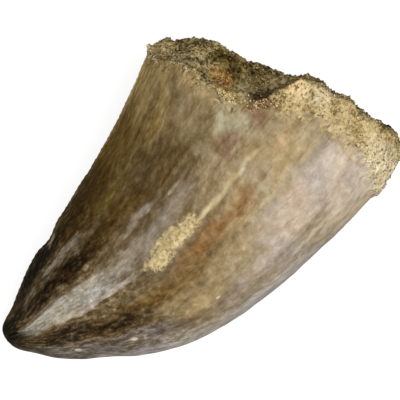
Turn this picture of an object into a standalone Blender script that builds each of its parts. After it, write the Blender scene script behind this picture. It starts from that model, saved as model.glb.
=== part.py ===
"""Fossil mosasaur tooth, lying on its flank as a loose find does.

One solid: the recurved crown, the rough collar of root bone that is left below the enamel, and the
broken face of the root. X runs from the tip to the root, +Y is the hollow side of the curve, Z is up,
and the origin is on the resting plane, under the middle of the tooth's box. Lengths are in
millimetres until place() scales them to metres.
"""

import math

import bmesh
import bpy
from mathutils import Vector, noise

MM = 0.001

# The mesh starts as a ball with one pole at the tip and the other in the middle of the broken face.
AROUND = 80
CROWN_RINGS = 36
COLLAR_RINGS = 6
BREAK_RINGS = 18
CROWN_SPACING = 1.35  # over 1 packs the rings closer towards the tip

# Outline of the crown from above: (x, y) along each edge, carried on past the break as if the tooth
# were whole. Both edges start at the tip.
TIP = (-27.15, -0.2)
LENGTH = 54.3
HOLLOW_EDGE = (TIP, (-26.65, 1.3), (-25.4, 2.0), (-23.8, 2.5), (-21.6, 3.6), (-18.5, 5.0), (-12.6, 6.8),
               (-5.8, 8.9), (0.8, 11.3), (6.8, 14.1), (11.3, 16.2), (19.0, 19.4), (27.2, 22.4))
BULGING_EDGE = (TIP, (-26.65, -1.9), (-25.4, -3.5), (-23.5, -5.9), (-21.2, -7.9), (-18.7, -9.7),
                (-15.5, -12.1), (-10.0, -14.9), (-3.3, -16.4), (4.1, -16.85), (12.1, -16.5),
                (18.5, -15.9), (23.5, -14.7), (27.2, -13.0))

# Half thickness over half width, above and below the edges, at the tip and at the root.
RISE_TIP, RISE_ROOT = 0.86, 0.72
BELLY_TIP, BELLY_ROOT = 0.80, 0.66
BELLY_WEAR = 0.22  # how much of the belly is worn flat where the tooth rests
TIP_LIFT, LIFT_ENDS = 1.8, -9.0  # the crown curves up off the resting plane towards its tip

# Superellipse exponents of the section: keen on the hollow edge, round on the bulging one.
KEEN, ROUND = 1.55, 2.15

# Long ridges of the crown: (angle from the hollow edge, height, half width in degrees, x where it dies out).
RIDGES = ((0.0, 0.55, 6.0, 40.0), (54.0, 0.50, 7.0, -2.0), (72.0, 0.30, 6.0, -6.0), (94.0, 0.75, 9.0, 16.0),
          (128.0, 0.45, 8.0, -6.0), (205.0, 0.45, 9.0, 0.0), (236.0, 0.40, 9.0, -8.0),
          (300.0, 0.45, 8.0, -8.0), (330.0, 0.45, 8.0, -2.0))
RIDGE_FULL_WIDTH = 9.0  # half width of the crown from which a ridge has its whole height
RIDGE_FADE = 16.0  # length over which a ridge dies out

# A chip out of the hollow edge: where it is, how long and how deep.
CHIP_X, CHIP_LENGTH, CHIP_DEPTH, CHIP_ANGLE = -14.6, 1.5, 0.5, 14.0

# Where the enamel ends, and how far the broken root reaches, as (y, x) from the bulging side up.
ENAMEL_END = ((-17.0, 19.3), (-14.0, 20.3), (-9.4, 22.0), (-5.0, 21.5), (-2.4, 20.4), (0.2, 18.4),
              (3.2, 14.9), (6.2, 13.0), (9.4, 13.4), (12.8, 11.5), (17.0, 9.2))
BREAK_LINE = ((-17.0, 24.2), (-14.4, 25.7), (-11.0, 26.8), (-8.0, 25.8), (-4.0, 25.1), (0.0, 23.9),
              (4.0, 21.0), (8.0, 18.6), (11.6, 17.3), (14.0, 15.3), (17.0, 12.4))

# The collar of root bone between the enamel and the break: it stands a little proud and is rough.
COLLAR_LEAST = 0.5
COLLAR_STEP = (-0.4, 0.8)  # the step up to it, from before the enamel's end to past it
COLLAR_SWELL, COLLAR_ROUGHNESS, COLLAR_LUMP = 0.3, 0.4, 2.2

# The broken face: it leans back above and below, a flake is missing from its upper hollow side, and
# the pulp cavity in its middle is choked with hard sand.
LEAN = 0.7
FLAKE_Y, FLAKE_HALF, FLAKE_DEPTH, FLAKE_LOW, FLAKE_HIGH = 9.6, 8.6, 4.6, 6.0, 16.0
FLAKE_FLOOR = 0.78  # share of its half width that has the whole depth
PULP_Y, PULP_Z, PULP_HALF_Y, PULP_HALF_Z, PULP_DEPTH = 0.5, 11.5, 8.5, 6.0, 2.2
PULP_FLOOR = 0.35
LUMP_SIZE, LUMP_HEIGHT = 3.4, 0.85
LUMP_SEED = Vector((4.0, 9.0, 2.0))

RIM_PASSES, RIM_STEP = 40, 0.5  # substitutions that find the rim, and the share of the error each one takes


def smooth(value, low, high):
    """0 below low, 1 above high and an S-curve between."""
    t = min(max((value - low) / (high - low), 0.0), 1.0)
    return t * t * (3.0 - 2.0 * t)


def curve(points, at, key=lambda a: a):
    """A smooth curve through (a, b) points, read at a. key bends a before it is used."""
    knots = [key(a) for a, _ in points]
    values = [b for _, b in points]
    place = key(at)
    last = len(points) - 2
    i = next((n for n in range(last) if place < knots[n + 1]), last)
    slopes = []
    for n in (i, i + 1):
        before, after = max(n - 1, 0), min(n + 1, len(points) - 1)
        slopes.append((values[after] - values[before]) / (knots[after] - knots[before]))
    span = knots[i + 1] - knots[i]
    t = (place - knots[i]) / span
    rise = values[i + 1] - values[i]
    start, end = slopes[0] * span, slopes[1] * span
    return values[i] + t * (start + t * (3 * rise - 2 * start - end + t * (start + end - 2 * rise)))


def roughness(place):
    """Noise of about -1 to 1 whose lumps are one unit across, with finer ones on them."""
    return noise.fractal(place, 1.0, 2.0, 3)


def from_tip(x):
    """The square root of the distance from the tip, in which a blunt tip is a smooth curve."""
    return math.sqrt(max(x - TIP[0], 0.0) / LENGTH)


def section(x):
    """Middle y, half width, height of the edges, rise above them and drop below them, at x."""
    hollow = curve(HOLLOW_EDGE, x, from_tip)
    bulging = curve(BULGING_EDGE, x, from_tip)
    half = (hollow - bulging) / 2
    along = from_tip(x)
    rise = half * (RISE_TIP + (RISE_ROOT - RISE_TIP) * along)
    drop = half * (BELLY_TIP + (BELLY_ROOT - BELLY_TIP) * along)
    lift = TIP_LIFT * (1.0 - smooth(x, TIP[0], LIFT_ENDS))
    return (hollow + bulging) / 2, half, drop - BELLY_WEAR + lift, rise, drop


def turn(a, b):
    """The angle between two directions, in degrees, from 0 to 180."""
    return abs((a - b + 180.0) % 360.0 - 180.0)


def relief(x, angle, half):
    """How far the ridges and the chip move the crown's surface outwards."""
    size = min(half / RIDGE_FULL_WIDTH, 1.0)
    height = 0.0
    for ridge_angle, ridge_height, width, dies_at in RIDGES:
        fade = 1.0 - smooth(x, dies_at - RIDGE_FADE, dies_at)
        height += ridge_height * fade * size * math.exp(-turn(angle, ridge_angle) / width)
    chip = math.exp(-((x - CHIP_X) / CHIP_LENGTH) ** 2 - (turn(angle, 0.0) / CHIP_ANGLE) ** 2)
    return height - CHIP_DEPTH * chip


def flank(x, angle):
    """(y, z) of the tooth's side at x, angle degrees round from the hollow edge over the top."""
    middle, half, edge_height, rise, drop = section(x)
    cosine, sine = math.cos(math.radians(angle)), math.sin(math.radians(angle))
    power = 2.0 / (ROUND + (KEEN - ROUND) * (0.5 + 0.5 * cosine))
    past_enamel = smooth(x - curve(ENAMEL_END, middle + half * cosine), *COLLAR_STEP)
    rough = COLLAR_ROUGHNESS * roughness(Vector((x, half * cosine, half * sine)) / COLLAR_LUMP)
    out = relief(x, angle, half) + past_enamel * (COLLAR_SWELL + rough)
    y = middle + math.copysign(half * abs(cosine) ** power, cosine) + out * cosine
    z = edge_height + math.copysign((rise if sine > 0 else drop) * abs(sine) ** power, sine) + out * sine
    return y, z


def broken_face(y, z):
    """x of the broken face, with the lumps and hollows of its bone and sand."""
    lean = LEAN * ((z - PULP_Z) / PULP_Z) ** 2
    flake_side = 1.0 - smooth(abs(y - FLAKE_Y) / FLAKE_HALF, FLAKE_FLOOR, 1.0)
    flake = FLAKE_DEPTH * flake_side * smooth(z, FLAKE_LOW, FLAKE_HIGH)
    from_pulp = math.hypot((y - PULP_Y) / PULP_HALF_Y, (z - PULP_Z) / PULP_HALF_Z)
    pulp = PULP_DEPTH * (1.0 - smooth(from_pulp, PULP_FLOOR, 1.0))
    lumps = LUMP_HEIGHT * roughness(Vector((0.0, y, z)) / LUMP_SIZE + LUMP_SEED)
    return curve(BREAK_LINE, y) - lean - flake - pulp + lumps


def rim(angle):
    """x where the flank at this angle meets the broken face, found by repeated substitution."""
    x = TIP[0] + LENGTH
    for _ in range(RIM_PASSES):
        x += RIM_STEP * (broken_face(*flank(x, angle)) - x)
    return x


def crown_point(share, angle, rim_x, enamel_x):
    """A point of the crown and collar: share is 0 at the tip, 1 where the enamel ends and 2 at the rim."""
    if share <= 1.0:
        x = TIP[0] + (enamel_x - TIP[0]) * share**CROWN_SPACING
    else:
        x = enamel_x + (rim_x - enamel_x) * (share - 1.0)
    return x, *flank(x, angle)


def break_point(share, angle, rim_x):
    """A point of the broken face: share is 0 at the rim and 1 in the middle."""
    rim_y, rim_z = flank(rim_x, angle)
    y = rim_y + (PULP_Y - rim_y) * share
    z = rim_z + (PULP_Z - rim_z) * share
    return broken_face(y, z), y, z


def place(point):
    """The point in metres, with whatever reaches below the resting plane worn down to it."""
    x, y, z = point
    return Vector((x, y, max(z, 0.0))) * MM


def shape_tooth(ball):
    """Moves each vertex of the unit ball to its place on the tooth."""
    rings = CROWN_RINGS + COLLAR_RINGS + BREAK_RINGS
    rims = {}
    for vertex in ball.verts:
        ring = round(math.acos(max(-1.0, min(1.0, vertex.co.z))) / math.pi * rings)
        column = round(math.atan2(vertex.co.y, vertex.co.x) / (2 * math.pi) * AROUND) % AROUND
        angle = 360.0 * column / AROUND
        if angle not in rims:
            rim_x = rim(angle)
            enamel_x = min(curve(ENAMEL_END, flank(rim_x, angle)[0]), rim_x - COLLAR_LEAST)
            rims[angle] = rim_x, enamel_x
        rim_x, enamel_x = rims[angle]
        if ring == 0:
            point = (*TIP, section(TIP[0])[2])
        elif ring <= CROWN_RINGS:
            point = crown_point(ring / CROWN_RINGS, angle, rim_x, enamel_x)
        elif ring <= CROWN_RINGS + COLLAR_RINGS:
            point = crown_point(1.0 + (ring - CROWN_RINGS) / COLLAR_RINGS, angle, rim_x, enamel_x)
        else:
            point = break_point((ring - CROWN_RINGS - COLLAR_RINGS) / BREAK_RINGS, angle, rim_x)
        vertex.co = place(point)


def fossil_enamel():
    """Brown fossil enamel with a satin gloss."""
    material = bpy.data.materials.new("fossil_enamel")
    material.use_nodes = True
    shader = material.node_tree.nodes["Principled BSDF"]
    shader.inputs["Base Color"].default_value = (0.22, 0.15, 0.08, 1.0)
    shader.inputs["Roughness"].default_value = 0.4
    shader.inputs["Metallic"].default_value = 0.0
    return material


def build_tooth(collection):
    """The tooth, from a ball of quads whose vertices are moved into place."""
    ball = bmesh.new()
    rings = CROWN_RINGS + COLLAR_RINGS + BREAK_RINGS
    bmesh.ops.create_uvsphere(ball, u_segments=AROUND, v_segments=rings, radius=1.0)
    shape_tooth(ball)
    bmesh.ops.recalc_face_normals(ball, faces=ball.faces)
    mesh = bpy.data.meshes.new("tooth")
    ball.to_mesh(mesh)
    ball.free()
    mesh.shade_smooth()
    mesh.set_sharp_from_angle(angle=math.radians(50))
    mesh.materials.append(fossil_enamel())
    collection.objects.link(bpy.data.objects.new("tooth", mesh))


for leftover in list(bpy.data.objects):
    bpy.data.objects.remove(leftover)
tooth_collection = bpy.data.collections.new("mosasaur_tooth")
bpy.context.scene.collection.children.link(tooth_collection)
build_tooth(tooth_collection)
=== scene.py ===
"""Fossil mosasaur tooth: its fine skin, sand and finish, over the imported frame.

Places are in millimetres in the frame's own axes and are scaled to metres when a mesh is made. X runs from
the tip to the broken root, +Y is the hollow edge of the curve and Z is up from the flank that it lies on.
"""

import math

import bpy
import numpy as np
from mathutils import Euler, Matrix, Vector, noise


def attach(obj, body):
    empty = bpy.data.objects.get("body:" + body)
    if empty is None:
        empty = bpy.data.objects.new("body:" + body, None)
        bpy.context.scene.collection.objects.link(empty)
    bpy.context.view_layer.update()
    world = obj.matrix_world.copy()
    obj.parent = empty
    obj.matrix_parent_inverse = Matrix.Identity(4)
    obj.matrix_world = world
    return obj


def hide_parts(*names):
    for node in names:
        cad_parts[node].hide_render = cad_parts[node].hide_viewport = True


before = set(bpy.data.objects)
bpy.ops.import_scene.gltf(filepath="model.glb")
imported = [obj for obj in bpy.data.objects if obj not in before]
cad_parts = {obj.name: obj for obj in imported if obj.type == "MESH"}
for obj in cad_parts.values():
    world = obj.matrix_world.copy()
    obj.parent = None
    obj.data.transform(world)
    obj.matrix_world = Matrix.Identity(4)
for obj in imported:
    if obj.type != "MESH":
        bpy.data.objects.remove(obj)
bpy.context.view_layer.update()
MM = 0.001


# ---- Tooth: the crown's form --------------------------------------------------------------------------
# A single grown tooth, turned to stone: a recurved cone of enamel over dentine, keen along its hollow edge
# and rounded along the bulging one, with long worn ridges that meet at the tip.

# The two edges as they look from above: (x, y) from the tip on.
TIP = (-27.15, -0.2)
LENGTH = 54.3
HOLLOW_EDGE = (TIP, (-26.65, 1.3), (-25.4, 2.0), (-23.8, 2.5), (-21.6, 3.6), (-18.5, 5.0), (-12.6, 6.8),
               (-5.8, 8.9), (0.8, 11.3), (6.8, 14.1), (11.3, 16.2), (19.0, 19.4), (27.2, 22.4))
BULGING_EDGE = (TIP, (-26.65, -1.9), (-25.4, -3.5), (-23.5, -5.9), (-21.2, -7.9), (-18.7, -9.7),
                (-15.5, -12.1), (-10.0, -14.9), (-3.3, -16.4), (4.1, -16.85), (12.1, -16.5),
                (18.5, -15.9), (23.5, -14.7), (27.2, -13.0))

# The section's rise above its edges and its drop below them, as shares of its half width.
RISE_TIP, RISE_ROOT = 0.86, 0.72
BELLY_TIP, BELLY_ROOT = 0.80, 0.66
BELLY_WEAR = 0.22  # worn flat off the flank that it lies on
TIP_LIFT, LIFT_ENDS = 1.8, -9.0  # how far the tip bends up, and the x from which it does
KEEN, ROUND = 1.55, 2.15  # the power of the oval section at the hollow edge and at the bulging one

# Long ridges: (angle from the hollow edge, height, half width in degrees, x where it dies out).
RIDGES = ((0.0, 0.55, 6.0, 40.0), (54.0, 0.50, 7.0, -2.0), (72.0, 0.30, 6.0, -6.0), (94.0, 0.75, 9.0, 16.0),
          (128.0, 0.45, 8.0, -6.0), (205.0, 0.45, 9.0, 0.0), (236.0, 0.40, 9.0, -8.0),
          (300.0, 0.45, 8.0, -8.0), (330.0, 0.45, 8.0, -2.0))
RIDGE_FULL_WIDTH = 9.0  # where the crown's half width is less than this, its ridges are lower
RIDGE_FADE = 16.0  # the length over which a ridge dies out
CHIP_X, CHIP_LENGTH, CHIP_DEPTH, CHIP_ANGLE = -14.6, 1.5, 0.5, 14.0  # a chip in the hollow edge


def smooth(value, low, high):
    """0 below low, 1 above high and an S-curve between."""
    t = np.clip((value - low) / (high - low), 0.0, 1.0)
    return t * t * (3.0 - 2.0 * t)


def curve(points, at, bend=lambda a: a):
    """A smooth curve through (a, b) points, read at every a in at. bend is applied to each a first."""
    knots = bend(np.array([a for a, _ in points]))
    values = np.array([b for _, b in points])
    place = bend(np.asarray(at, dtype=float))
    before = np.maximum(np.arange(len(points)) - 1, 0)
    after = np.minimum(np.arange(len(points)) + 1, len(points) - 1)
    slopes = (values[after] - values[before]) / (knots[after] - knots[before])
    i = np.clip(np.searchsorted(knots, place, side="right") - 1, 0, len(points) - 2)
    span = knots[i + 1] - knots[i]
    t = (place - knots[i]) / span
    rise = values[i + 1] - values[i]
    start, end = slopes[i] * span, slopes[i + 1] * span
    return values[i] + t * (start + t * (3 * rise - 2 * start - end + t * (start + end - 2 * rise)))


def from_tip(x):
    """The square root of the distance from the tip, in which a blunt tip is a smooth curve."""
    return np.sqrt(np.maximum(x - TIP[0], 0.0) / LENGTH)


def section(x):
    """Middle y, half width, height of the edges, rise above them and drop below them, at x."""
    hollow = curve(HOLLOW_EDGE, x, from_tip)
    bulging = curve(BULGING_EDGE, x, from_tip)
    half = (hollow - bulging) / 2
    along = from_tip(x)
    rise = half * (RISE_TIP + (RISE_ROOT - RISE_TIP) * along)
    drop = half * (BELLY_TIP + (BELLY_ROOT - BELLY_TIP) * along)
    lift = TIP_LIFT * (1.0 - smooth(x, TIP[0], LIFT_ENDS))
    return (hollow + bulging) / 2, half, drop - BELLY_WEAR + lift, rise, drop


def turn(a, b):
    """The angle between two directions, in degrees, from 0 to 180."""
    return np.abs((a - b + 180.0) % 360.0 - 180.0)


def relief(x, angle, half):
    """How far the ridges and the chip move the crown's surface outwards."""
    size = np.minimum(half / RIDGE_FULL_WIDTH, 1.0)
    height = 0.0
    for ridge_angle, ridge_height, width, dies_at in RIDGES:
        fade = 1.0 - smooth(x, dies_at - RIDGE_FADE, dies_at)
        height = height + ridge_height * fade * size * np.exp(-turn(angle, ridge_angle) / width)
    chip = np.exp(-(((x - CHIP_X) / CHIP_LENGTH) ** 2) - (turn(angle, 0.0) / CHIP_ANGLE) ** 2)
    return height - CHIP_DEPTH * chip


# ---- Tooth: the root's collar and break ---------------------------------------------------------------
# Below the enamel is a rough collar of root bone, and then the face where the root snapped. A flake is
# missing from its upper hollow side, and the pulp cavity in the middle is choked with hard sand.

# The enamel's lower edge and the line of the break, from above, as (y, x).
ENAMEL_END = ((-17.0, 19.3), (-14.0, 20.3), (-9.4, 22.0), (-5.0, 21.5), (-2.4, 20.4), (0.2, 18.4),
              (3.2, 14.9), (6.2, 13.0), (9.4, 13.4), (12.8, 11.5), (17.0, 9.2))
BREAK_LINE = ((-17.0, 24.2), (-14.4, 25.7), (-11.0, 26.8), (-8.0, 25.8), (-4.0, 25.1), (0.0, 23.9),
              (4.0, 21.0), (8.0, 18.6), (11.6, 17.3), (14.0, 15.3), (17.0, 12.4))
COLLAR_LEAST = 0.5  # the collar is at least this wide
COLLAR_STEP = (-0.4, 0.8)  # it rises over this distance from the enamel's edge
COLLAR_SWELL, COLLAR_ROUGHNESS, COLLAR_LUMP = 0.3, 0.4, 2.2  # how far it stands out, and its lumps

# The broken face: how far it leans back above and below its middle, then the missing flake, the shallow
# hollow of the pulp and the lumps.
LEAN = 0.7
FLAKE_Y, FLAKE_HALF, FLAKE_DEPTH, FLAKE_LOW, FLAKE_HIGH = 9.6, 8.6, 4.6, 6.0, 16.0
FLAKE_FLOOR = 0.78  # the share of its width over which it has its full depth
PULP_Y, PULP_Z, PULP_HALF_Y, PULP_HALF_Z, PULP_DEPTH = 0.5, 11.5, 8.5, 6.0, 2.2
PULP_FLOOR = 0.35  # and the same for the hollow
LUMP_SIZE, LUMP_HEIGHT = 3.4, 0.85
LUMP_SEED = (4.0, 9.0, 2.0)
RIM_PASSES, RIM_STEP = 40, 0.5  # how often x is moved towards the break, and by what share of the way


def roughness(places, size, seed=(0.0, 0.0, 0.0), octaves=3):
    """Noise of about -1 to 1 at each row of places, with lumps size across and finer ones on them."""
    moved = np.asarray(places) / size + np.asarray(seed)
    flat = [noise.fractal(Vector(place), 1.0, 2.0, octaves) for place in moved.reshape(-1, 3)]
    return np.array(flat).reshape(moved.shape[:-1])


def flank(x, angle):
    """(y, z) of the tooth's side at x, angle degrees round from the hollow edge over the top."""
    middle, half, edge_height, rise, drop = section(x)
    cosine, sine = np.cos(np.radians(angle)), np.sin(np.radians(angle))
    power = 2.0 / (ROUND + (KEEN - ROUND) * (0.5 + 0.5 * cosine))
    past_enamel = smooth(x - curve(ENAMEL_END, middle + half * cosine), *COLLAR_STEP)
    rough = COLLAR_ROUGHNESS * roughness(np.stack((x, half * cosine, half * sine), -1), COLLAR_LUMP)
    out = relief(x, angle, half) + past_enamel * (COLLAR_SWELL + rough)
    y = middle + np.copysign(half * np.abs(cosine) ** power, cosine) + out * cosine
    height = np.where(sine > 0, rise, drop)
    z = edge_height + np.copysign(height * np.abs(sine) ** power, sine) + out * sine
    return y, z


def broken_face(y, z):
    """x of the broken face, with the lumps and hollows of its bone and sand."""
    lean = LEAN * ((z - PULP_Z) / PULP_Z) ** 2
    flake_side = 1.0 - smooth(np.abs(y - FLAKE_Y) / FLAKE_HALF, FLAKE_FLOOR, 1.0)
    flake = FLAKE_DEPTH * flake_side * smooth(z, FLAKE_LOW, FLAKE_HIGH)
    from_pulp = np.hypot((y - PULP_Y) / PULP_HALF_Y, (z - PULP_Z) / PULP_HALF_Z)
    pulp = PULP_DEPTH * (1.0 - smooth(from_pulp, PULP_FLOOR, 1.0))
    lumps = LUMP_HEIGHT * roughness(np.stack((np.zeros_like(y), y, z), -1), LUMP_SIZE, LUMP_SEED)
    return curve(BREAK_LINE, y) - lean - flake - pulp + lumps


def rim(angle):
    """x where the flank at each angle meets the broken face, found by repeated substitution."""
    x = np.full(angle.shape, TIP[0] + LENGTH)
    for _ in range(RIM_PASSES):
        x += RIM_STEP * (broken_face(*flank(x, angle)) - x)
    return x


# ---- Tooth: the fine skin -----------------------------------------------------------------------------
# Closer to, the enamel has fine lengthwise wrinkles and a worn saw edge, a skin of sand clings to it in
# one patch, and the bone of the root is spongy, with open pores where the sand has not filled it.

AROUND = 440  # points round the tooth
CROWN_RINGS, COLLAR_RINGS, BREAK_RINGS = 140, 24, 54
CROWN_SPACING = 1.2  # above 1, the crown's rings are closer together near the tip

# Heights or depths, and the sizes of what has them. Real wrinkles are about 0.3 mm apart, and are drawn
# coarser, so that they show.
WRINKLE, WRINKLE_SPACING, WRINKLE_STRETCH = 0.05, 0.8, 2.6
DENT, DENT_SIZE = 0.10, 4.0
SAW, SAW_PITCH, SAW_ANGLE, SAW_STARTS = 0.08, 0.75, 5.0, (-25.0, -22.0)
PIT, PIT_SIZE = 0.32, 0.7
RAGGED, RAGGED_SIZE = 0.9, 1.6  # how far the enamel's lower edge strays
WELL_PAST = 5.0  # the break counts as this far below the enamel

# The skin of sand on the crest and two flecks of it, in the form that patches() takes.
SAND_PATCH = ((-5.4, 95.0, 2.2, 5.5, 1.0), (-3.3, 91.5, 2.6, 6.0, 1.0), (-0.8, 93.4, 2.4, 4.5, 1.0))
CRUST, CRUST_SIZE, CRUST_EDGE, CRUST_MIDDLE = 0.14, 0.6, (0.3, 0.8), 0.6
FLECKS = ((-20.8, 139.1, 0.42, 3.4, 1.0), (-14.4, 136.1, 0.42, 2.8, 1.0), (-3.0, 136.8, 0.32, 1.2, 0.8))
FLECK_HEIGHT = 0.16

# The bone's pores stray from round, and in broad parts of it sand has filled them, but never on the break.
PORE_SIZE, PORE_DEPTH, PORE_EDGE = 0.8, 0.3, (0.12, 0.42)
PORE_STRAY, PORE_STRAY_SHARE = 0.5, 0.8
FILL_SIZE, FILL_EDGE, FILLED, UNFILLED_FROM = 5.0, (-0.3, 0.4), 0.85, 0.08
FILL_SEED = (3.0, 3.0, 8.0)

# The crown's pattern is drawn on a straight round tube, so that its streaks taper to the tip with it.
GROWTH_RADIUS, GROWTH_SQUEEZE, GROWTH_LEAST = 13.0, 0.1, 1.0
GROWTH_STEPS = 500
PATCH_CORNERS, PATCH_EDGE = 2.5, (0.3, 1.6)  # above 2, a patch is squarer than an ellipse


def growth(x, angle):
    """Places on the tube, which is a little longer than the crown near the tip, where streaks are short."""
    along = np.linspace(TIP[0], TIP[0] + LENGTH, GROWTH_STEPS)
    longer = (GROWTH_RADIUS / np.maximum(section(along)[1], GROWTH_LEAST)) ** GROWTH_SQUEEZE
    length = np.interp(x, along, np.cumsum(longer) * (along[1] - along[0]))
    turned = np.radians(angle)
    return np.stack((GROWTH_RADIUS * np.cos(turned), GROWTH_RADIUS * np.sin(turned), length), -1)


def patches(x, angle, places):
    """How far each point is inside any of the places, (x, angle, half length, half angle, strength)."""
    most = np.zeros_like(x)
    for place_x, place_angle, half_length, half_angle, strength in places:
        along, round_it = np.abs(x - place_x) / half_length, turn(angle, place_angle) / half_angle
        reach = (along**PATCH_CORNERS + round_it**PATCH_CORNERS) ** (1 / PATCH_CORNERS)
        most = np.maximum(most, strength * (1.0 - smooth(reach, *PATCH_EDGE)))
    return most


def pores(places):
    """How far each point is inside a pore of the bone, 0 to 1."""
    stray = PORE_STRAY * roughness(places, PORE_STRAY_SHARE * PORE_SIZE)
    strayed = places / PORE_SIZE + stray[:, None]
    near = [noise.voronoi(Vector(place))[0][0] for place in strayed]
    return 1.0 - smooth(np.array(near), *PORE_EDGE)


# The skin is a ball of rings, which are moved to the crown, the collar and the break in turn.
rings = CROWN_RINGS + COLLAR_RINGS + BREAK_RINGS
bpy.ops.mesh.primitive_uv_sphere_add(segments=AROUND, ring_count=rings, radius=1.0)
tooth = bpy.context.object
tooth.name = "tooth_fossil"
ball = np.empty(len(tooth.data.vertices) * 3)
tooth.data.vertices.foreach_get("co", ball)
ball = ball.reshape(-1, 3)

ring = np.rint(np.arccos(np.clip(ball[:, 2], -1, 1)) / math.pi * rings)
column = np.rint(np.arctan2(ball[:, 1], ball[:, 0]) / (2 * math.pi) * AROUND).astype(int) % AROUND
angle = 360.0 * column / AROUND
column_angles = 360.0 * np.arange(AROUND) / AROUND
column_rim = rim(column_angles)
column_enamel = curve(ENAMEL_END, flank(column_rim, column_angles)[0])
column_enamel = np.minimum(column_enamel, column_rim - COLLAR_LEAST)
rim_x, enamel_x = column_rim[column], column_enamel[column]

on_crown = np.minimum(ring / CROWN_RINGS, 1.0) ** CROWN_SPACING
on_collar = np.clip((ring - CROWN_RINGS) / COLLAR_RINGS, 0.0, 1.0)
on_break = np.clip((ring - CROWN_RINGS - COLLAR_RINGS) / BREAK_RINGS, 0.0, 1.0)
x = TIP[0] + (enamel_x - TIP[0]) * on_crown + (rim_x - enamel_x) * on_collar
y, z = flank(x, angle)
y += (PULP_Y - y) * on_break
z += (PULP_Z - z) * on_break
x = np.where(on_break > 0, broken_face(y, z), x)
at_tip = ring == 0
y[at_tip], z[at_tip] = TIP[1], section(np.array([TIP[0]]))[2][0]
skin = np.stack((x, y, z), -1)
tooth.data.vertices.foreach_set("co", (skin * MM).ravel())
tooth.data.update()
normals = np.empty(len(skin) * 3)
tooth.data.vertex_normals.foreach_get("vector", normals)
normals = normals.reshape(-1, 3)

grown = growth(x, angle)
ragged = RAGGED * roughness(skin, RAGGED_SIZE)
past_enamel = np.where(on_break > 0, WELL_PAST, x - enamel_x + ragged)
enamel = 1.0 - smooth(past_enamel, *COLLAR_STEP)
bone = 1.0 - enamel
narrow = np.minimum(section(x)[1] / RIDGE_FULL_WIDTH, 1.0)
wrinkles = roughness(grown / (1.0, 1.0, WRINKLE_STRETCH), WRINKLE_SPACING, octaves=2)
saw = np.abs((x / SAW_PITCH) % 1.0 - 0.5) * 2.0 * np.exp(-((turn(angle, 0.0) / SAW_ANGLE) ** 2))
sand_patch = patches(x, angle, SAND_PATCH) * enamel
flecks = patches(x, angle, FLECKS) * enamel
pore = np.zeros_like(x)
pore[bone > 0] = pores(skin[bone > 0])
filled = smooth(roughness(skin, FILL_SIZE, FILL_SEED), *FILL_EDGE)
filled *= 1.0 - smooth(on_break, 0.0, UNFILLED_FROM)
pore *= bone * (1.0 - FILLED * filled)

out = enamel * narrow * (WRINKLE * wrinkles + DENT * roughness(grown, DENT_SIZE))
out -= enamel * SAW * saw * smooth(x, *SAW_STARTS)
out -= bone * PIT * np.abs(roughness(skin, PIT_SIZE, octaves=2)) + PORE_DEPTH * pore
out += CRUST * smooth(sand_patch, *CRUST_EDGE) * (CRUST_MIDDLE + roughness(skin, CRUST_SIZE))
out += FLECK_HEIGHT * flecks
skin += normals * out[:, None]
skin[:, 2] = np.maximum(skin[:, 2], 0.0)
tooth.data.vertices.foreach_set("co", (skin * MM).ravel())
tooth.data.shade_smooth()
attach(tooth, "root")
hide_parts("tooth")
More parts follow.
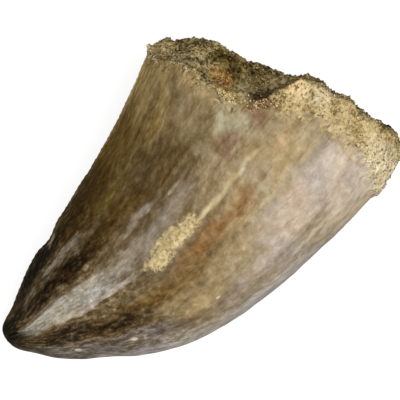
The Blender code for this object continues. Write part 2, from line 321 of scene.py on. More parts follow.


# ---- Tooth: the stains ---------------------------------------------------------------------------------
# Minerals in the phosphate sand stained the tooth while it lay buried, from nearly black at the tip and
# along the hollow edge to a pale greyish pink by the root. Some pale marks among them are painted light: a
# painted reflection along the bulging edge, a painted sheen on the facet near the tip and painted
# highlights along the crests. Each stain lies over the ones before it.

# Each stain: its name, its colour and its places, in the form that patches() takes. Angles up to 180 are
# on the upper side.
STAINS = (
    ("clay", "#857453", ((17.0, 95.0, 10.0, 150.0, 1.0),)),
    # Painted reflection: mushroom and pewter are grey bands along the bulging edge that stand for the pale
    # floor's reflection in the enamel.
    ("mushroom_reflection", "#6f665e", (
        (-21.0, 147.0, 7.0, 23.0, 1.0), (-14.5, 140.0, 6.0, 14.0, 1.0), (-12.0, 212.0, 10.0, 24.0, 0.9))),
    ("pewter_reflection", "#aaa49e", (
        (1.0, 173.0, 15.0, 22.0, 1.0), (-12.0, 168.0, 7.0, 15.0, 1.0), (-9.5, 158.0, 5.0, 13.0, 0.5),
        (16.0, 174.0, 7.0, 18.0, 0.8), (8.0, 205.0, 14.0, 22.0, 0.9))),
    ("taupe", "#8b7f6f", ((2.0, 147.0, 8.0, 9.0, 0.8), (14.0, 155.0, 4.5, 8.0, 1.0))),
    ("fawn", "#958977", (
        (11.0, 152.0, 7.0, 8.0, 0.9), (0.0, 80.0, 4.5, 7.0, 0.7),
        (-6.0, 81.0, 4.5, 8.0, 0.8), (12.0, 120.0, 7.0, 7.0, 0.8), (14.0, 235.0, 9.0, 14.0, 0.8))),
    ("rose_grey", "#ab9d8f", (
        (12.5, 131.0, 10.0, 11.0, 1.0), (18.0, 142.0, 5.0, 13.0, 0.9), (4.5, 137.0, 5.0, 8.0, 0.7),
        (8.0, 262.0, 9.0, 13.0, 0.7))),
    # Partly painted reflection: oatmeal's long place at 187 degrees lightens the bulging edge's outline as
    # the pale floor's reflection would. Its other places are pale stain.
    ("oatmeal_and_reflection", "#beb09d", (
        (19.4, 167.0, 5.4, 22.0, 0.8), (6.0, 187.0, 20.0, 13.0, 0.9), (7.6, 136.0, 4.0, 7.0, 0.5),
        (18.8, 130.0, 2.4, 8.0, 0.6))),
    ("buff", "#988664", (
        (1.5, 126.0, 5.5, 11.0, 0.7), (-8.5, 121.5, 3.5, 5.0, 0.8), (-4.0, 131.0, 5.0, 8.0, 0.8),
        (9.5, 108.0, 8.0, 9.0, 0.9), (17.0, 107.0, 3.0, 9.0, 0.9), (9.5, 56.0, 4.0, 11.0, 0.8),
        (8.0, 91.0, 10.0, 7.0, 0.6), (-1.5, 95.0, 2.5, 5.0, 0.5),
        (6.5, 82.0, 2.5, 6.0, 0.7), (-5.0, 38.0, 4.5, 7.0, 0.35), (12.0, 292.0, 8.0, 16.0, 0.8))),
    ("tan", "#cdb279", (
        (7.2, 10.0, 8.8, 20.0, 1.0), (14.0, 40.0, 3.5, 26.0, 0.8), (6.5, 39.0, 4.0, 8.0, 0.5),
        (10.5, 27.0, 3.0, 9.0, 0.8), (22.0, 142.0, 2.5, 12.0, 0.15), (11.0, 338.0, 6.0, 18.0, 0.8))),
    ("honey", "#745d35", (
        (-6.5, 112.5, 6.5, 7.5, 1.0), (-9.5, 124.0, 4.0, 5.0, 0.3), (-2.0, 250.0, 9.0, 14.0, 0.9),
        (2.0, 285.0, 7.0, 10.0, 0.7))),
    ("olive", "#7c6532", (
        (-1.0, 18.0, 6.0, 20.0, 1.0), (-5.0, 38.0, 5.0, 9.0, 0.8), (3.0, 38.0, 6.0, 9.0, 0.4),
        (-2.0, 318.0, 9.0, 16.0, 0.9))),
    ("chestnut", "#795932", (
        (0.5, 106.0, 4.5, 5.0, 0.9), (6.5, 107.0, 2.5, 5.0, 0.8), (5.0, 300.0, 5.0, 5.0, 0.8),
        (-4.0, 232.0, 4.0, 5.0, 0.6))),
    ("sage", "#a29b80", (
        (12.3, 78.0, 2.6, 10.0, 1.0), (13.6, 90.0, 1.4, 4.0, 0.5), (7.4, 73.0, 2.0, 4.0, 0.3),
        (10.0, 316.0, 3.0, 7.0, 0.6))),
    ("russet", "#80654a", (
        (9.8, 84.0, 1.8, 8.0, 0.8), (15.4, 84.0, 1.7, 9.0, 1.0), (9.0, 305.0, 2.0, 5.0, 0.6))),
    ("apricot", "#ab8560", ((15.3, 102.4, 1.4, 2.0, 0.4), (14.0, 101.5, 1.5, 1.0, 0.3))),
    ("bark", "#58411a", (
        (-7.0, 54.0, 7.0, 6.0, 0.8), (-2.0, 57.0, 2.4, 9.0, 0.7), (4.0, 62.0, 3.0, 4.0, 0.5),
        (-14.5, 116.5, 4.5, 9.0, 0.95), (-10.0, 111.0, 3.5, 4.5, 0.7), (-8.0, 22.0, 6.0, 14.0, 1.0),
        (-11.0, 34.0, 3.0, 11.0, 0.8), (-6.0, 62.5, 3.5, 4.5, 0.4),
        (-7.0, 300.0, 8.0, 10.0, 0.9), (-9.0, 340.0, 8.0, 14.0, 1.0))),
    ("umber", "#241809", (
        (-16.5, 55.5, 7.0, 8.0, 1.0), (-11.0, 22.0, 3.0, 8.0, 0.5), (-7.5, 6.0, 5.0, 7.0, 0.4),
        (-21.0, 112.0, 4.0, 11.0, 0.9), (-15.2, 117.6, 4.5, 8.0, 0.8),
        (-15.0, 262.0, 7.0, 10.0, 0.9), (-14.0, 325.0, 6.0, 14.0, 0.9))),
    # Partly painted sheen: pale grey worn enamel on the facet near the tip, made paler still to stand for
    # the soft box's sheen on it.
    ("ash_and_sheen", "#b0aa9d", (
        (-20.5, 80.5, 5.0, 11.2, 0.95), (-15.5, 81.5, 4.5, 11.5, 0.8), (-11.5, 82.0, 3.0, 7.0, 0.5),
        (-17.0, 290.0, 7.0, 13.0, 0.9))),
    # Partly painted highlight: chalk is thin pale lines, most of them along the crests of the ridges, where
    # they stand for the light that the crests catch.
    ("chalk_and_highlight", "#b9ad9c", (
        (-18.5, 92.5, 4.5, 4.0, 1.0), (-13.0, 93.0, 4.0, 2.2, 0.9), (-14.5, 39.5, 3.4, 4.0, 0.55),
        (-21.5, 38.0, 1.6, 5.0, 0.3), (-5.0, 66.5, 4.0, 2.2, 0.5), (1.8, 72.5, 2.2, 1.8, 0.5),
        (10.5, 149.0, 4.0, 1.4, 0.6), (-15.0, 238.0, 6.0, 4.0, 0.7))),
    # Partly painted highlight: straw's thin lines along the crest at about 95 degrees stand for the light
    # that this crest catches. Its lines at 115 degrees are pale stain.
    ("straw_and_highlight", "#b7a87f", (
        (2.5, 95.1, 2.4, 1.2, 0.8), (6.0, 96.2, 2.2, 1.1, 0.7), (9.6, 97.4, 2.0, 1.1, 0.6),
        (12.2, 98.0, 1.5, 1.0, 0.4), (11.0, 115.0, 4.0, 1.4, 0.45), (16.5, 116.0, 2.0, 1.4, 0.4))),
    ("soot", "#0c0906", (
        (-27.0, 60.0, 2.4, 80.0, 1.0), (-18.2, 18.0, 5.8, 14.0, 0.9), (-24.5, 40.0, 2.2, 14.0, 0.8),
        (-19.5, 350.0, 7.0, 18.0, 1.0))),
    ("scar", "#dccdb0", ((-14.9, 11.0, 0.7, 7.0, 1.0),)),
)

# The stains of the root's bone, placed from above, with y in place of the angle and a half width in mm.
ROOT_STAINS = (
    ("ivory", "#c8ba98", (
        (22.8, -13.5, 2.6, 3.6, 1.0), (22.6, -2.0, 1.8, 2.0, 0.4), (11.5, 15.2, 2.0, 2.0, 0.3))),
    # Painted light: marl lies in the flake's shaded notch and is made pale to stand for light there.
    ("marl_and_painted_light", "#b9aa7e", ((17.1, 4.9, 1.5, 1.8, 0.9),)),
    ("liver", "#593c24", ((16.3, 2.0, 1.8, 2.0, 1.0),)),
    ("custard", "#cbb083", ((21.2, 1.2, 1.8, 1.5, 0.8),)),
    ("ochre", "#b58a52", (
        (15.2, 9.3, 1.2, 1.4, 0.4), (22.6, -2.0, 2.0, 2.4, 0.1), (11.7, 15.0, 1.6, 1.6, 0.3))),
    ("rust", "#c69750", ((14.9, 7.5, 1.3, 2.0, 0.9),)),
    ("pitch", "#2e2718", ((27.0, -9.9, 0.9, 1.1, 0.9),)),
)
ROOT_STAIN_STARTS = (9.5, 12.0)  # the heights over which they begin

# Placed in the same way: cream sand on the missing flake's wall, which also stands as painted light against
# the shade of that wall; cells in the collar beside the wall, painted dark and open as painted shade to
# match the shaded wall; and places on the break where the cells are empty and nearly black, some of them a
# painted shadow along the break's upper rim.
WALL_SAND_AND_LIGHT = ((19.4, 3.3, 3.6, 2.0, 0.8),)
OPEN_AND_SHADED = ((18.5, 2.7, 1.6, 1.0, 1.0), (19.9, 2.4, 1.3, 1.0, 1.0), (17.2, 3.4, 1.2, 0.9, 0.8))
DEEP_AND_SHADOW = ((17.4, 9.0, 1.6, 2.4, 1.0), (19.6, 6.4, 1.6, 2.4, 0.8), (14.4, 14.9, 1.2, 1.4, 0.3),
        (15.6, 13.4, 1.2, 1.4, 0.4), (21.9, 1.4, 1.2, 1.4, 0.7), (23.6, -1.4, 1.2, 1.6, 0.9))
WALL_STARTS = (6.5, 8.5)  # the heights over which the wall's sand and painted light, and the dark places of the break, begin
HEIGHT_STRAY, HEIGHT_STRAY_SIZE = 1.5, 2.0  # how far all these heights stray
HEIGHT_SEED = (1.0, 5.0, 9.0)

# The break's rim is cream. Its width is a share of the way to the middle, and it fades out at RIM_FADE
# times that. It is broader round two angles: (angle, degrees from it where it starts to widen, degrees from
# it where it has widened, by how much).
RIM_LEAST, RIM_FADE = 0.03, 2.5
BROAD_RIMS = ((142.0, 48.0, 22.0, 0.14), (78.0, 30.0, 10.0, 0.06))

# The mm and degrees by which a stain's edge strays, and over what size.
STRAY_X, STRAY_ANGLE = 1.0, 3.0
STRAY_SIZE, STRAY_STRETCH = 3.0, 1.5
STRAY_X_SEED, STRAY_ANGLE_SEED = (7.0, 1.0, 3.0), (2.0, 8.0, 5.0)
TIP_CONTRAST, CONTRAST_ENDS = 1.3, (-15.0, -5.0)  # the fine pattern, with the painted shade in the wrinkles, is stronger towards the tip

stretched = grown / (1.0, 1.0, STRAY_STRETCH)
stray_x = x + STRAY_X * roughness(stretched, STRAY_SIZE, STRAY_X_SEED)
stray_angle = angle + STRAY_ANGLE * roughness(stretched, STRAY_SIZE, STRAY_ANGLE_SEED)


def write_attribute(target, name, values):
    """Writes a number, or a place, for each vertex, where the finish can read it."""
    if values.ndim == 1:
        target.data.attributes.new(name, "FLOAT", "POINT").data.foreach_set("value", values)
    else:
        target.data.attributes.new(name, "FLOAT_VECTOR", "POINT").data.foreach_set("vector", values.ravel())


# The break is dark inside its cream rim, but for the wall with its sand and painted light, and so are the
# open cells in the collar, as painted shade.
rim_width = RIM_LEAST
for rim_angle, widens_from, widened_at, wider in BROAD_RIMS:
    rim_width = rim_width + wider * smooth(turn(angle, rim_angle), widens_from, widened_at)
height = skin[:, 2] + HEIGHT_STRAY * roughness(skin, HEIGHT_STRAY_SIZE, HEIGHT_SEED)
high = smooth(height, *WALL_STARTS)
open_and_shaded_cells = patches(x, y, OPEN_AND_SHADED)
inside = smooth(on_break, rim_width, RIM_FADE * rim_width) * (1.0 - patches(x, y, WALL_SAND_AND_LIGHT) * high)
inside = np.maximum(inside, open_and_shaded_cells * (on_break <= 0.0))
deep_and_shadow = patches(x, y, DEEP_AND_SHADOW) * high * inside

for stain, _, places in STAINS:
    write_attribute(tooth, stain, patches(stray_x, stray_angle, places))
for stain, _, places in ROOT_STAINS:
    write_attribute(tooth, stain, patches(x, y, places) * smooth(height, *ROOT_STAIN_STARTS))
write_attribute(tooth, "past_enamel", past_enamel)
write_attribute(tooth, "sand_patch", sand_patch)
write_attribute(tooth, "flecks", flecks)
write_attribute(tooth, "contrast", 1.0 + TIP_CONTRAST * (1.0 - smooth(x, *CONTRAST_ENDS)))
write_attribute(tooth, "inside_break", inside)
write_attribute(tooth, "deep_and_shadow", deep_and_shadow)
write_attribute(tooth, "pore", pore)
write_attribute(tooth, "growth", grown)
write_attribute(tooth, "place", skin)


# ---- Tooth: the finish --------------------------------------------------------------------------------
# Fossil enamel is apatite, worn and cleaned to a satin gloss, with fine wrinkles along the crown whose
# hollows have painted shade. The root's bone is spongy and matt, and is filled with phosphate sand.

ENAMEL_IOR, ENAMEL_SPECULAR = 1.62, 0.11  # the IOR is apatite's, and fine wear takes most of the shine off
GROUND = "#67563a"

# Sizes of the patterns in the enamel. The wrinkles are drawn coarser than real ones, as in the skin.
WRINKLE_WIDTH, WRINKLE_LENGTH = 0.75, 0.95
MOTTLE_WIDTH, MOTTLE_LENGTH = 1.4, 1.5
CLOUD_SIZE = 5.0
FLECKED_SIZE = 0.32
CRACK_WIDTH, CRACK_LENGTH = 1.9, 12.0


def linear(colour):
    """An sRGB hex colour as linear red, green, blue and alpha."""
    parts = [int(colour[i : i + 2], 16) / 255 for i in (1, 3, 5)]
    return (*(p / 12.92 if p <= 0.04045 else ((p + 0.055) / 1.055) ** 2.4 for p in parts), 1.0)


def add(tree, kind, inputs=None, **settings):
    """Adds a node with its settings. Its open inputs, counted from 0, take values or links from nodes."""
    made = tree.nodes.new(kind)
    for name, value in settings.items():
        setattr(made, name, value)
    sockets = [socket for socket in made.inputs if socket.enabled]
    for key, value in (inputs or {}).items():
        socket = sockets[key] if isinstance(key, int) else made.inputs[key]
        if isinstance(value, bpy.types.Node):
            value = next(output for output in value.outputs if output.enabled)
        if isinstance(value, bpy.types.NodeSocket):
            tree.links.new(value, socket)
        else:
            socket.default_value = value
    return made


fossil_enamel = bpy.data.materials.new("fossil_enamel")
fossil_enamel.use_nodes = True
tree = fossil_enamel.node_tree
shader = tree.nodes["Principled BSDF"]

at_growth = add(tree, "ShaderNodeAttribute", attribute_name="growth").outputs["Vector"]
at_place = add(tree, "ShaderNodeAttribute", attribute_name="place").outputs["Vector"]
wrinkle_place, mottle_place, crack_place = (
    add(tree, "ShaderNodeVectorMath", {0: at_growth, 1: (1.0, 1.0, width / length)}, operation="MULTIPLY")
    for width, length in ((WRINKLE_WIDTH, WRINKLE_LENGTH), (MOTTLE_WIDTH, MOTTLE_LENGTH),
                          (CRACK_WIDTH, CRACK_LENGTH)))
wrinkle = add(tree, "ShaderNodeTexNoise", {
    "Vector": wrinkle_place, "Scale": 1 / WRINKLE_WIDTH, "Detail": 2.0, "Roughness": 0.45})
mottle = add(tree, "ShaderNodeTexNoise", {
    "Vector": mottle_place, "Scale": 1 / MOTTLE_WIDTH, "Detail": 2.0, "Roughness": 0.5})
clouds = add(tree, "ShaderNodeTexNoise", {
    "Vector": at_growth, "Scale": 1 / CLOUD_SIZE, "Detail": 2.0, "Roughness": 0.5})
flecked = add(tree, "ShaderNodeTexNoise", {
    "Vector": at_place, "Scale": 1 / FLECKED_SIZE, "Detail": 1.0, "Roughness": 0.5})

# A stain's edge frays. Three frays, from three stretches of the same noise, take turns.
FRAY, FRAY_SHIFTS = 0.6, (0.0, 40.0, 90.0)
FRAYS_FROM, STAIN_COVER = 0.15, 0.95  # where a stain shows in full, and how much it covers there
frays = []
for shift in FRAY_SHIFTS:
    shifted = add(tree, "ShaderNodeVectorMath", {0: mottle_place, 1: (shift, 0.0, shift)}, operation="ADD")
    fray = add(tree, "ShaderNodeTexNoise", {
        "Vector": shifted, "Scale": 1 / MOTTLE_WIDTH, "Detail": 3.0, "Roughness": 0.5})
    frays.append(add(tree, "ShaderNodeMath", {0: fray, 1: FRAY, 2: -0.5 * FRAY}, operation="MULTIPLY_ADD"))


def stained(colour, stains):
    """The colour with the stains laid over it in turn, each with its own fray."""
    for number, (stain, stain_colour, _) in enumerate(stains):
        inside = add(tree, "ShaderNodeAttribute", attribute_name=stain).outputs["Fac"]
        present = add(tree, "ShaderNodeMapRange", {0: inside, 1: 0.0, 2: FRAYS_FROM})
        frayed = add(tree, "ShaderNodeMath", {0: inside, 1: frays[number % len(frays)]}, operation="ADD")
        frayed = add(tree, "ShaderNodeMapRange", {0: frayed, 1: 0.0, 2: 1.0, 4: STAIN_COVER},
                     interpolation_type="SMOOTHSTEP")
        amount = add(tree, "ShaderNodeMath", {0: frayed, 1: present}, operation="MULTIPLY")
        colour = add(tree, "ShaderNodeMix", {0: amount, 1: colour, 2: linear(stain_colour)},
                     data_type="RGBA")
    return colour


colour = stained(linear(GROUND), STAINS)

# Iron warms broad parts of the enamel and others stay cool.
COOL, WARM, WARMS_FROM, WARMED_AT = "#f4f5fa", "#fff8ea", 0.35, 0.65
warmth = add(tree, "ShaderNodeMapRange", {0: clouds, 1: WARMS_FROM, 2: WARMED_AT})
tint = add(tree, "ShaderNodeMix", {0: warmth, 1: linear(COOL), 2: linear(WARM)}, data_type="RGBA")
colour = add(tree, "ShaderNodeMix", {0: 1.0, 1: colour, 2: tint}, data_type="RGBA", blend_type="MULTIPLY")

# Painted shade: each wrinkle's hollow is painted darker than the crests beside it, as shade would make it,
# and flecks, mottles and clouds vary the tone. A dark stain varies more than a pale one. Each pattern has
# its share in how much.
FINE, BROAD = ((wrinkle, 0.72), (flecked, 0.3)), ((mottle, 0.48), (clouds, 0.15))
painted_shade_and_tone = 0.5 * sum(share for _, share in FINE)
for pattern, share in FINE:
    painted_shade_and_tone = add(tree, "ShaderNodeMath", {0: pattern, 1: -share, 2: painted_shade_and_tone}, operation="MULTIPLY_ADD")
contrast = add(tree, "ShaderNodeAttribute", attribute_name="contrast").outputs["Fac"]
broad_depth = 1.0 + 0.5 * sum(share for _, share in BROAD)
painted_shade_and_tone = add(tree, "ShaderNodeMath", {0: painted_shade_and_tone, 1: contrast, 2: broad_depth}, operation="MULTIPLY_ADD")
for pattern, share in BROAD:
    painted_shade_and_tone = add(tree, "ShaderNodeMath", {0: pattern, 1: -share, 2: painted_shade_and_tone}, operation="MULTIPLY_ADD")
colour = add(tree, "ShaderNodeGamma", {0: colour, 1: painted_shade_and_tone})

# Long hairline cracks, a little darker.
CRACK_SPREAD, CRACK_DARKER = 0.012, 0.12
crack = add(tree, "ShaderNodeTexNoise", {
    "Vector": crack_place, "Scale": 1 / CRACK_WIDTH, "Detail": 3.0, "Roughness": 0.5})
crack = add(tree, "ShaderNodeMath", {0: crack, 1: 0.5, 2: CRACK_SPREAD}, operation="COMPARE")
crack = add(tree, "ShaderNodeMath", {0: crack, 1: CRACK_DARKER, 2: 1.0}, operation="MULTIPLY_ADD")
colour = add(tree, "ShaderNodeGamma", {0: colour, 1: crack})

# The skin of cream sand on the crest, thinner between its coarser grit.
GRIT_SIZE, GRIT_LOW, GRIT_HIGH = 0.5, 0.36, 0.64
SAND_DULL, SAND_PALE = "#a58f61", "#cfbd8f"
SAND_GRIT, SAND_PRESENT, SAND_FROM, SAND_FULL, SAND_COVER = 1.6, 0.4, 1.02, 1.7, 0.85
grit = add(tree, "ShaderNodeTexNoise", {
    "Vector": at_place, "Scale": 1 / GRIT_SIZE, "Detail": 2.0, "Roughness": 0.6})
gritty = add(tree, "ShaderNodeMapRange", {0: grit, 1: GRIT_LOW, 2: GRIT_HIGH})
patch = add(tree, "ShaderNodeAttribute", attribute_name="sand_patch").outputs["Fac"]
present = add(tree, "ShaderNodeMapRange", {0: patch, 1: 0.0, 2: SAND_PRESENT})
patch = add(tree, "ShaderNodeMath", {0: grit, 1: SAND_GRIT, 2: patch}, operation="MULTIPLY_ADD")
patch = add(tree, "ShaderNodeMath", {0: patch, 1: frays[-1]}, operation="ADD")
patch = add(tree, "ShaderNodeMapRange", {0: patch, 1: SAND_FROM, 2: SAND_FULL, 4: SAND_COVER},
            interpolation_type="SMOOTHSTEP")
patch = add(tree, "ShaderNodeMath", {0: patch, 1: present}, operation="MULTIPLY")
patch_colour = add(tree, "ShaderNodeMix", {0: gritty, 1: linear(SAND_DULL), 2: linear(SAND_PALE)},
                   data_type="RGBA")
colour = add(tree, "ShaderNodeMix", {0: patch, 1: colour, 2: patch_colour}, data_type="RGBA")

# A few pale flecks of sand on the bulging side.
FLECK, FLECK_FROM, FLECK_FULL, FLECK_COVER = "#c8bba8", 0.25, 0.8, 0.9
fleck = add(tree, "ShaderNodeAttribute", attribute_name="flecks").outputs["Fac"]
fleck = add(tree, "ShaderNodeMapRange", {0: fleck, 1: FLECK_FROM, 2: FLECK_FULL, 4: FLECK_COVER},
            interpolation_type="SMOOTHSTEP")
colour = add(tree, "ShaderNodeMix", {0: fleck, 1: colour, 2: linear(FLECK)}, data_type="RGBA")

# Spongy bone is a net of cream walls round small cells. The cells are filled with sand, a little browner
# than the walls, but in parts of the break many of them are empty, and there the bone is painted darker, as
# painted shade in the empty cells.
CELL_SIZE, CELL_WALL, CELL_OPEN = 0.85, 0.03, 0.3
CELL_BEND, CELL_BEND_SIZE = 1.6, 1.2
EMPTY_SIZE, EMPTY_LOW, EMPTY_HIGH = 2.2, 0.36, 0.62
CREAM, CREAM_EMPTIER, DUST, DUST_EMPTIER = "#b19b6d", "#937e52", "#beae7e", "#807249"
bend = add(tree, "ShaderNodeTexNoise", {"Vector": at_place, "Scale": 1 / CELL_BEND_SIZE, "Detail": 2.0})
bent = add(tree, "ShaderNodeVectorMath", {0: bend.outputs["Color"], 1: (CELL_BEND,) * 3, 2: at_place},
           operation="MULTIPLY_ADD")
cell = add(tree, "ShaderNodeTexVoronoi", {"Vector": bent, "Scale": 1 / CELL_SIZE},
           feature="DISTANCE_TO_EDGE")
in_cell = add(tree, "ShaderNodeMapRange", {0: cell, 1: CELL_WALL, 2: CELL_OPEN},
              interpolation_type="SMOOTHSTEP")
emptier = add(tree, "ShaderNodeTexNoise", {
    "Vector": at_place, "Scale": 1 / EMPTY_SIZE, "Detail": 3.0, "Roughness": 0.6})
emptier = add(tree, "ShaderNodeMapRange", {0: emptier, 1: EMPTY_LOW, 2: EMPTY_HIGH},
              interpolation_type="SMOOTHSTEP")
broken = add(tree, "ShaderNodeAttribute", attribute_name="inside_break").outputs["Fac"]
dust = add(tree, "ShaderNodeMix", {0: emptier, 1: linear(DUST), 2: linear(DUST_EMPTIER)}, data_type="RGBA")
cream = add(tree, "ShaderNodeMix", {0: emptier, 1: linear(CREAM), 2: linear(CREAM_EMPTIER)},
            data_type="RGBA")
bone_colour = add(tree, "ShaderNodeMix", {0: broken, 1: cream, 2: dust}, data_type="RGBA")
bone_colour = stained(bone_colour, ROOT_STAINS)

# A cell is darker than its walls, and most of all on the break and where the cells are empty, partly for
# its sand and partly as painted shade in the hollow cell. Grit catches the light, a painted highlight.
BREAK_DARKER, COLLAR_DARKER, EMPTIER_DARKER = 0.7, 0.05, 0.5
GRIT_PALER, DEEP_AND_SHADOW_DARKER, BONE_DARKNESS = 0.9, 0.9, 1.3
darkness = add(tree, "ShaderNodeMath", {0: broken, 1: BREAK_DARKER, 2: COLLAR_DARKER},
               operation="MULTIPLY_ADD")
darkness = add(tree, "ShaderNodeMath", {0: emptier, 1: EMPTIER_DARKER, 2: darkness},
               operation="MULTIPLY_ADD")
darkness = add(tree, "ShaderNodeMath", {0: darkness, 1: in_cell}, operation="MULTIPLY")
darkness = add(tree, "ShaderNodeMath", {0: grit, 1: -GRIT_PALER, 2: darkness}, operation="MULTIPLY_ADD")
in_deep_and_shadow = add(tree, "ShaderNodeAttribute", attribute_name="deep_and_shadow").outputs["Fac"]
darkness = add(tree, "ShaderNodeMath", {0: in_deep_and_shadow, 1: DEEP_AND_SHADOW_DARKER, 2: darkness}, operation="MULTIPLY_ADD")
darkness = add(tree, "ShaderNodeMath", {0: darkness, 1: BONE_DARKNESS}, operation="ADD")
bone_colour = add(tree, "ShaderNodeGamma", {0: bone_colour, 1: darkness})

# Open pores are painted dark brown, as painted shade in their depths, and specks of dark phosphate lie all
# over the bone.
PORE_SHADE, PORE_FROM, PORE_FULL, PORE_COVER = "#2c2110", 0.3, 0.9, 0.6
SPECK, SPECK_SIZE, SPECK_FROM, SPECK_FULL, SPECK_COVER = "#5a4b2c", 0.55, 0.6, 0.7, 0.75
in_pore = add(tree, "ShaderNodeAttribute", attribute_name="pore").outputs["Fac"]
in_pore = add(tree, "ShaderNodeMapRange", {0: in_pore, 1: PORE_FROM, 2: PORE_FULL, 4: PORE_COVER})
bone_colour = add(tree, "ShaderNodeMix", {0: in_pore, 1: bone_colour, 2: linear(PORE_SHADE)}, data_type="RGBA")
speck = add(tree, "ShaderNodeTexNoise", {
    "Vector": at_place, "Scale": 1 / SPECK_SIZE, "Detail": 1.0, "Roughness": 0.5})
speck = add(tree, "ShaderNodeMapRange", {0: speck, 1: SPECK_FROM, 2: SPECK_FULL, 4: SPECK_COVER},
            interpolation_type="SMOOTHSTEP")
bone_colour = add(tree, "ShaderNodeMix", {0: speck, 1: bone_colour, 2: linear(SPECK)}, data_type="RGBA")

# The enamel thins out over the bone in a ragged edge.
EDGE_FRAY, EDGE_FRAY_SIZE, EDGE_FROM, EDGE_FULL = 7.0, 0.9, 2.2, 4.6
on_bone = add(tree, "ShaderNodeAttribute", attribute_name="past_enamel").outputs["Fac"]
ragged_edge = add(tree, "ShaderNodeTexNoise", {
    "Vector": at_place, "Scale": 1 / EDGE_FRAY_SIZE, "Detail": 3.0, "Roughness": 0.6})
on_bone = add(tree, "ShaderNodeMath", {0: ragged_edge, 1: EDGE_FRAY, 2: on_bone}, operation="MULTIPLY_ADD")
on_bone = add(tree, "ShaderNodeMapRange", {0: on_bone, 1: EDGE_FROM, 2: EDGE_FULL},
              interpolation_type="SMOOTHSTEP")
colour = add(tree, "ShaderNodeMix", {0: on_bone, 1: colour, 2: bone_colour}, data_type="RGBA")
tree.links.new(colour.outputs[2], shader.inputs["Base Color"])

# Some of the enamel is worn duller than the rest, and the bone is matt.
DULL, GLOSSY, GLOSS_LOW, GLOSS_HIGH, BONE_DULLER = 0.48, 0.34, 0.3, 0.7, 0.45
dullness = add(tree, "ShaderNodeMapRange", {0: mottle, 1: GLOSS_LOW, 2: GLOSS_HIGH, 3: DULL, 4: GLOSSY})
dullness = add(tree, "ShaderNodeMath", {0: on_bone, 1: BONE_DULLER, 2: dullness}, operation="MULTIPLY_ADD")
tree.links.new(dullness.outputs[0], shader.inputs["Roughness"])
shader.inputs["IOR"].default_value = ENAMEL_IOR
shader.inputs["Specular IOR Level"].default_value = ENAMEL_SPECULAR

# Wrinkles stand out from the enamel, and the bone is sunk between the walls of its cells.
RELIEF, RELIEF_STRENGTH, CELL_SINKS = 0.2, 0.8, 0.6
wrinkled = add(tree, "ShaderNodeBump", {"Height": wrinkle, "Distance": RELIEF * MM,
                                        "Strength": RELIEF_STRENGTH})
cell_height = add(tree, "ShaderNodeMath", {0: in_cell, 1: -CELL_SINKS, 2: grit}, operation="MULTIPLY_ADD")
cell_height = add(tree, "ShaderNodeMath", {0: cell_height, 1: on_bone}, operation="MULTIPLY")
celled = add(tree, "ShaderNodeBump", {"Height": cell_height, "Distance": RELIEF * MM,
                                      "Strength": RELIEF_STRENGTH, "Normal": wrinkled})
tree.links.new(celled.outputs[0], shader.inputs["Normal"])
tooth.data.materials.append(fossil_enamel)


# ---- Sand grains --------------------------------------------------------------------------------------
# Grains of quartz and phosphate from the bed that the tooth lay in, still cemented to the bone of the root,
# to the break and to the crest. They are coarser than the sand that lies in the pores.

GRAINS, GRAIN_SEED = 5200, 11
GRAIN_LEAST, GRAIN_MOST, CREST_GRAIN = 0.06, 0.15, 0.6  # half sizes, and how many times that on the crest
GRAIN_UNEVEN, GRAIN_FLATNESS = (0.75, 1.25), 0.7
GRAIN_STANDS = 0.05  # how far a grain's centre stands out of the skin, as a share of its half size
TINT_MOST = 0.9  # each grain has a tint from 0 to this, which picks its colour

# Where grains lie: in clumps with a few between them, most on the rim, and few in the dark places of the
# break and the collar, where the cells are empty and the shade is painted.
CLUMP_SIZE, CLUMP_EDGE, BETWEEN_CLUMPS = 2.4, (-0.35, 0.45), 0.15
CLUMP_SEED = (6.0, 6.0, 1.0)
COLLAR_SHARE, CREST_SHARE, CREST_EDGE, EMPTY_SHARE = 0.8, 0.8, (0.45, 0.9), 0.8

bpy.ops.mesh.primitive_ico_sphere_add(subdivisions=1, radius=1.0)
pebble = bpy.context.object
pebble_points = np.array([vertex.co[:] for vertex in pebble.data.vertices])
pebble_faces = np.array([face.vertices[:] for face in pebble.data.polygons])
bpy.data.objects.remove(pebble)

chance = np.random.default_rng(GRAIN_SEED)
clumped = smooth(roughness(skin, CLUMP_SIZE, CLUMP_SEED), *CLUMP_EDGE)
room = np.where(on_break > 0, 1.0 - on_break, COLLAR_SHARE)
likely = room * (BETWEEN_CLUMPS + clumped) * bone * (1.0 - pore)
likely += CREST_SHARE * smooth(sand_patch, *CREST_EDGE)
likely *= (skin[:, 2] > GRAIN_MOST) * (1.0 - EMPTY_SHARE * np.maximum(deep_and_shadow, open_and_shaded_cells))
chosen = chance.choice(len(skin), GRAINS, replace=False, p=likely / likely.sum())
sizes = chance.uniform(GRAIN_LEAST, GRAIN_MOST, GRAINS) * np.where(bone[chosen] > 0.5, 1.0, CREST_GRAIN)
tints = chance.uniform(0.0, TINT_MOST, GRAINS)

grain_points = np.empty((len(chosen), len(pebble_points), 3))
for number, (vertex, size) in enumerate(zip(chosen, sizes)):
    turned = np.array(Euler(chance.uniform(0.0, 2 * math.pi, 3)).to_matrix())
    shape = pebble_points * (size * chance.uniform(*GRAIN_UNEVEN, (len(pebble_points), 1)))
    shape[:, 2] *= GRAIN_FLATNESS
    centre = skin[vertex] + normals[vertex] * size * GRAIN_STANDS
    grain_points[number] = shape @ turned.T + centre
starts = np.arange(len(chosen))[:, None, None] * len(pebble_points)
grain_faces = (pebble_faces[None] + starts).reshape(-1, 3)

sand = bpy.data.objects.new("sand_grains", bpy.data.meshes.new("sand_grains"))
sand.data.from_pydata((grain_points.reshape(-1, 3) * MM).tolist(), [], grain_faces.tolist())
write_attribute(sand, "tint", np.repeat(tints, len(pebble_points)))
bpy.context.collection.objects.link(sand)
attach(sand, "root")

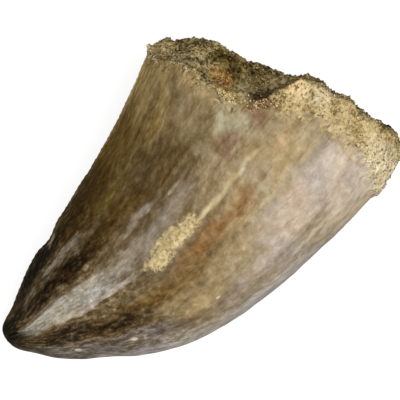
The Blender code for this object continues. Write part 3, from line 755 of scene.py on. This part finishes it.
# Worn quartz is glassy inside but frosted outside, so each grain is matt and has one colour of its own.
# Each colour is for the tints from its number up to the next one.
GRAIN_COLOURS = ((0.0, "#c9b98d"), (0.3, "#b49d6c"), (0.52, "#937b4a"), (0.68, "#d8ccab"),
                 (0.73, "#5f5236"), (0.88, "#9a7444"))
QUARTZ_ROUGHNESS, QUARTZ_SPECULAR = 0.7, 0.3
quartz_sand = bpy.data.materials.new("quartz_sand")
quartz_sand.use_nodes = True
tree = quartz_sand.node_tree
shader = tree.nodes["Principled BSDF"]
tint = add(tree, "ShaderNodeAttribute", attribute_name="tint").outputs["Fac"]
ramp = add(tree, "ShaderNodeValToRGB", {0: tint})
ramp.color_ramp.interpolation = "CONSTANT"
for number, (start, grain_colour) in enumerate(GRAIN_COLOURS):
    stop = ramp.color_ramp.elements[0] if number == 0 else ramp.color_ramp.elements.new(start)
    stop.position, stop.color = start, linear(grain_colour)
ramp.color_ramp.elements.remove(ramp.color_ramp.elements[-1])  # the white one that a new ramp ends with
tree.links.new(ramp.outputs["Color"], shader.inputs["Base Color"])
shader.inputs["Roughness"].default_value = QUARTZ_ROUGHNESS
shader.inputs["Specular IOR Level"].default_value = QUARTZ_SPECULAR
sand.data.materials.append(quartz_sand)


# ---- Light panel --------------------------------------------------------------------------------------
# A plain white light panel that the tooth lies on. Its glow hides nearly all of the tooth's shadow, and it
# throws little light up at the tooth, as a panel does whose light goes straight up.

FLOOR_SIZE = 4.0  # metres
PANEL_GLOW = 0.84
PANEL_SEEN, PANEL_THROWS = "#8c8c8c", "#5e594e"  # its colour to the eye, and to light that falls on it

bpy.ops.mesh.primitive_plane_add(size=FLOOR_SIZE, location=(0, 0, 0))
floor = bpy.context.object
floor.name = "floor"
white_acrylic = bpy.data.materials.new("white_acrylic")
white_acrylic.use_nodes = True
tree = white_acrylic.node_tree
shader = tree.nodes["Principled BSDF"]
seen = add(tree, "ShaderNodeLightPath").outputs["Is Camera Ray"]
acrylic = add(tree, "ShaderNodeMix", {0: seen, 1: linear(PANEL_THROWS), 2: linear(PANEL_SEEN)},
              data_type="RGBA")
tree.links.new(acrylic.outputs[2], shader.inputs["Base Color"])
glow = add(tree, "ShaderNodeMath", {0: seen, 1: PANEL_GLOW}, operation="MULTIPLY")
tree.links.new(glow.outputs[0], shader.inputs["Emission Strength"])
shader.inputs["Emission Color"].default_value = (1.0, 1.0, 1.0, 1.0)
shader.inputs["Roughness"].default_value = 1.0
shader.inputs["Specular IOR Level"].default_value = 0.0
floor.data.materials.append(white_acrylic)


# ---- Lights -------------------------------------------------------------------------------------------
# One large soft box stands above the bulging side, in a pale room that is darker beyond the hollow edge, so
# that the pale facets shine and the hollow side stays dark.

BOX_PLACE, BOX_AIM = (0.05, -0.10, 0.40), (0.0, 0.0, 0.01)  # metres, as is BOX_SIZE
BOX_SIZE, BOX_WATTS = 0.50, 2.75
ROOM_NEAR, ROOM_BEYOND, ROOM_SEEN, ROOM_STRENGTH = "#e6e6e4", "#5c574c", "#eeeeec", 0.65
ROOM_TURNS_FROM, ROOM_TURNED_AT = -0.6, 0.7  # it darkens over these Y of a direction

lamp = bpy.data.lights.new("soft_box", "AREA")
lamp.shape, lamp.size, lamp.energy = "SQUARE", BOX_SIZE, BOX_WATTS
soft_box = bpy.data.objects.new("soft_box", lamp)
soft_box.location = BOX_PLACE
soft_box.rotation_euler = (Vector(BOX_AIM) - Vector(BOX_PLACE)).to_track_quat("-Z", "Y").to_euler()
bpy.context.collection.objects.link(soft_box)

world = bpy.data.worlds.new("room")
bpy.context.scene.world = world
world.use_nodes = True
tree = world.node_tree
background = tree.nodes["Background"]
direction = add(tree, "ShaderNodeTexCoord").outputs["Generated"]
beyond = add(tree, "ShaderNodeSeparateXYZ", {0: direction}).outputs["Y"]
beyond = add(tree, "ShaderNodeMapRange", {0: beyond, 1: ROOM_TURNS_FROM, 2: ROOM_TURNED_AT},
             interpolation_type="SMOOTHSTEP")
walls = add(tree, "ShaderNodeMix", {0: beyond, 1: linear(ROOM_NEAR), 2: linear(ROOM_BEYOND)},
            data_type="RGBA")
seen = add(tree, "ShaderNodeLightPath").outputs["Is Camera Ray"]
walls = add(tree, "ShaderNodeMix", {0: seen, 1: walls, 2: linear(ROOM_SEEN)}, data_type="RGBA")
tree.links.new(walls.outputs[2], background.inputs["Color"])
background.inputs["Strength"].default_value = ROOM_STRENGTH


# ---- Camera -------------------------------------------------------------------------------------------
# It looks straight down from far off through a long lens, so that nothing is foreshortened, and is turned
# so that the tip points to the lower left.

LENS, SENSOR = 600.0, 36.0
VIEW_WIDTH, VIEW_HEIGHT = 50.4, 8.0  # mm across the picture, and how high above the floor that is measured
VIEW_CENTRE = (3.1, -2.15)
ROLL = -40.0
NEAREST = 0.01  # metres: nothing nearer than this is drawn

camera = bpy.data.objects.new("camera", bpy.data.cameras.new("camera"))
camera.data.lens, camera.data.sensor_width = LENS, SENSOR
camera.location = Vector((*VIEW_CENTRE, VIEW_HEIGHT + VIEW_WIDTH * LENS / SENSOR)) * MM
camera.rotation_euler = (0.0, 0.0, math.radians(ROLL))
camera.data.clip_start = NEAREST
bpy.context.collection.objects.link(camera)
bpy.context.scene.camera = camera
bpy.context.scene.view_settings.view_transform = "Standard"
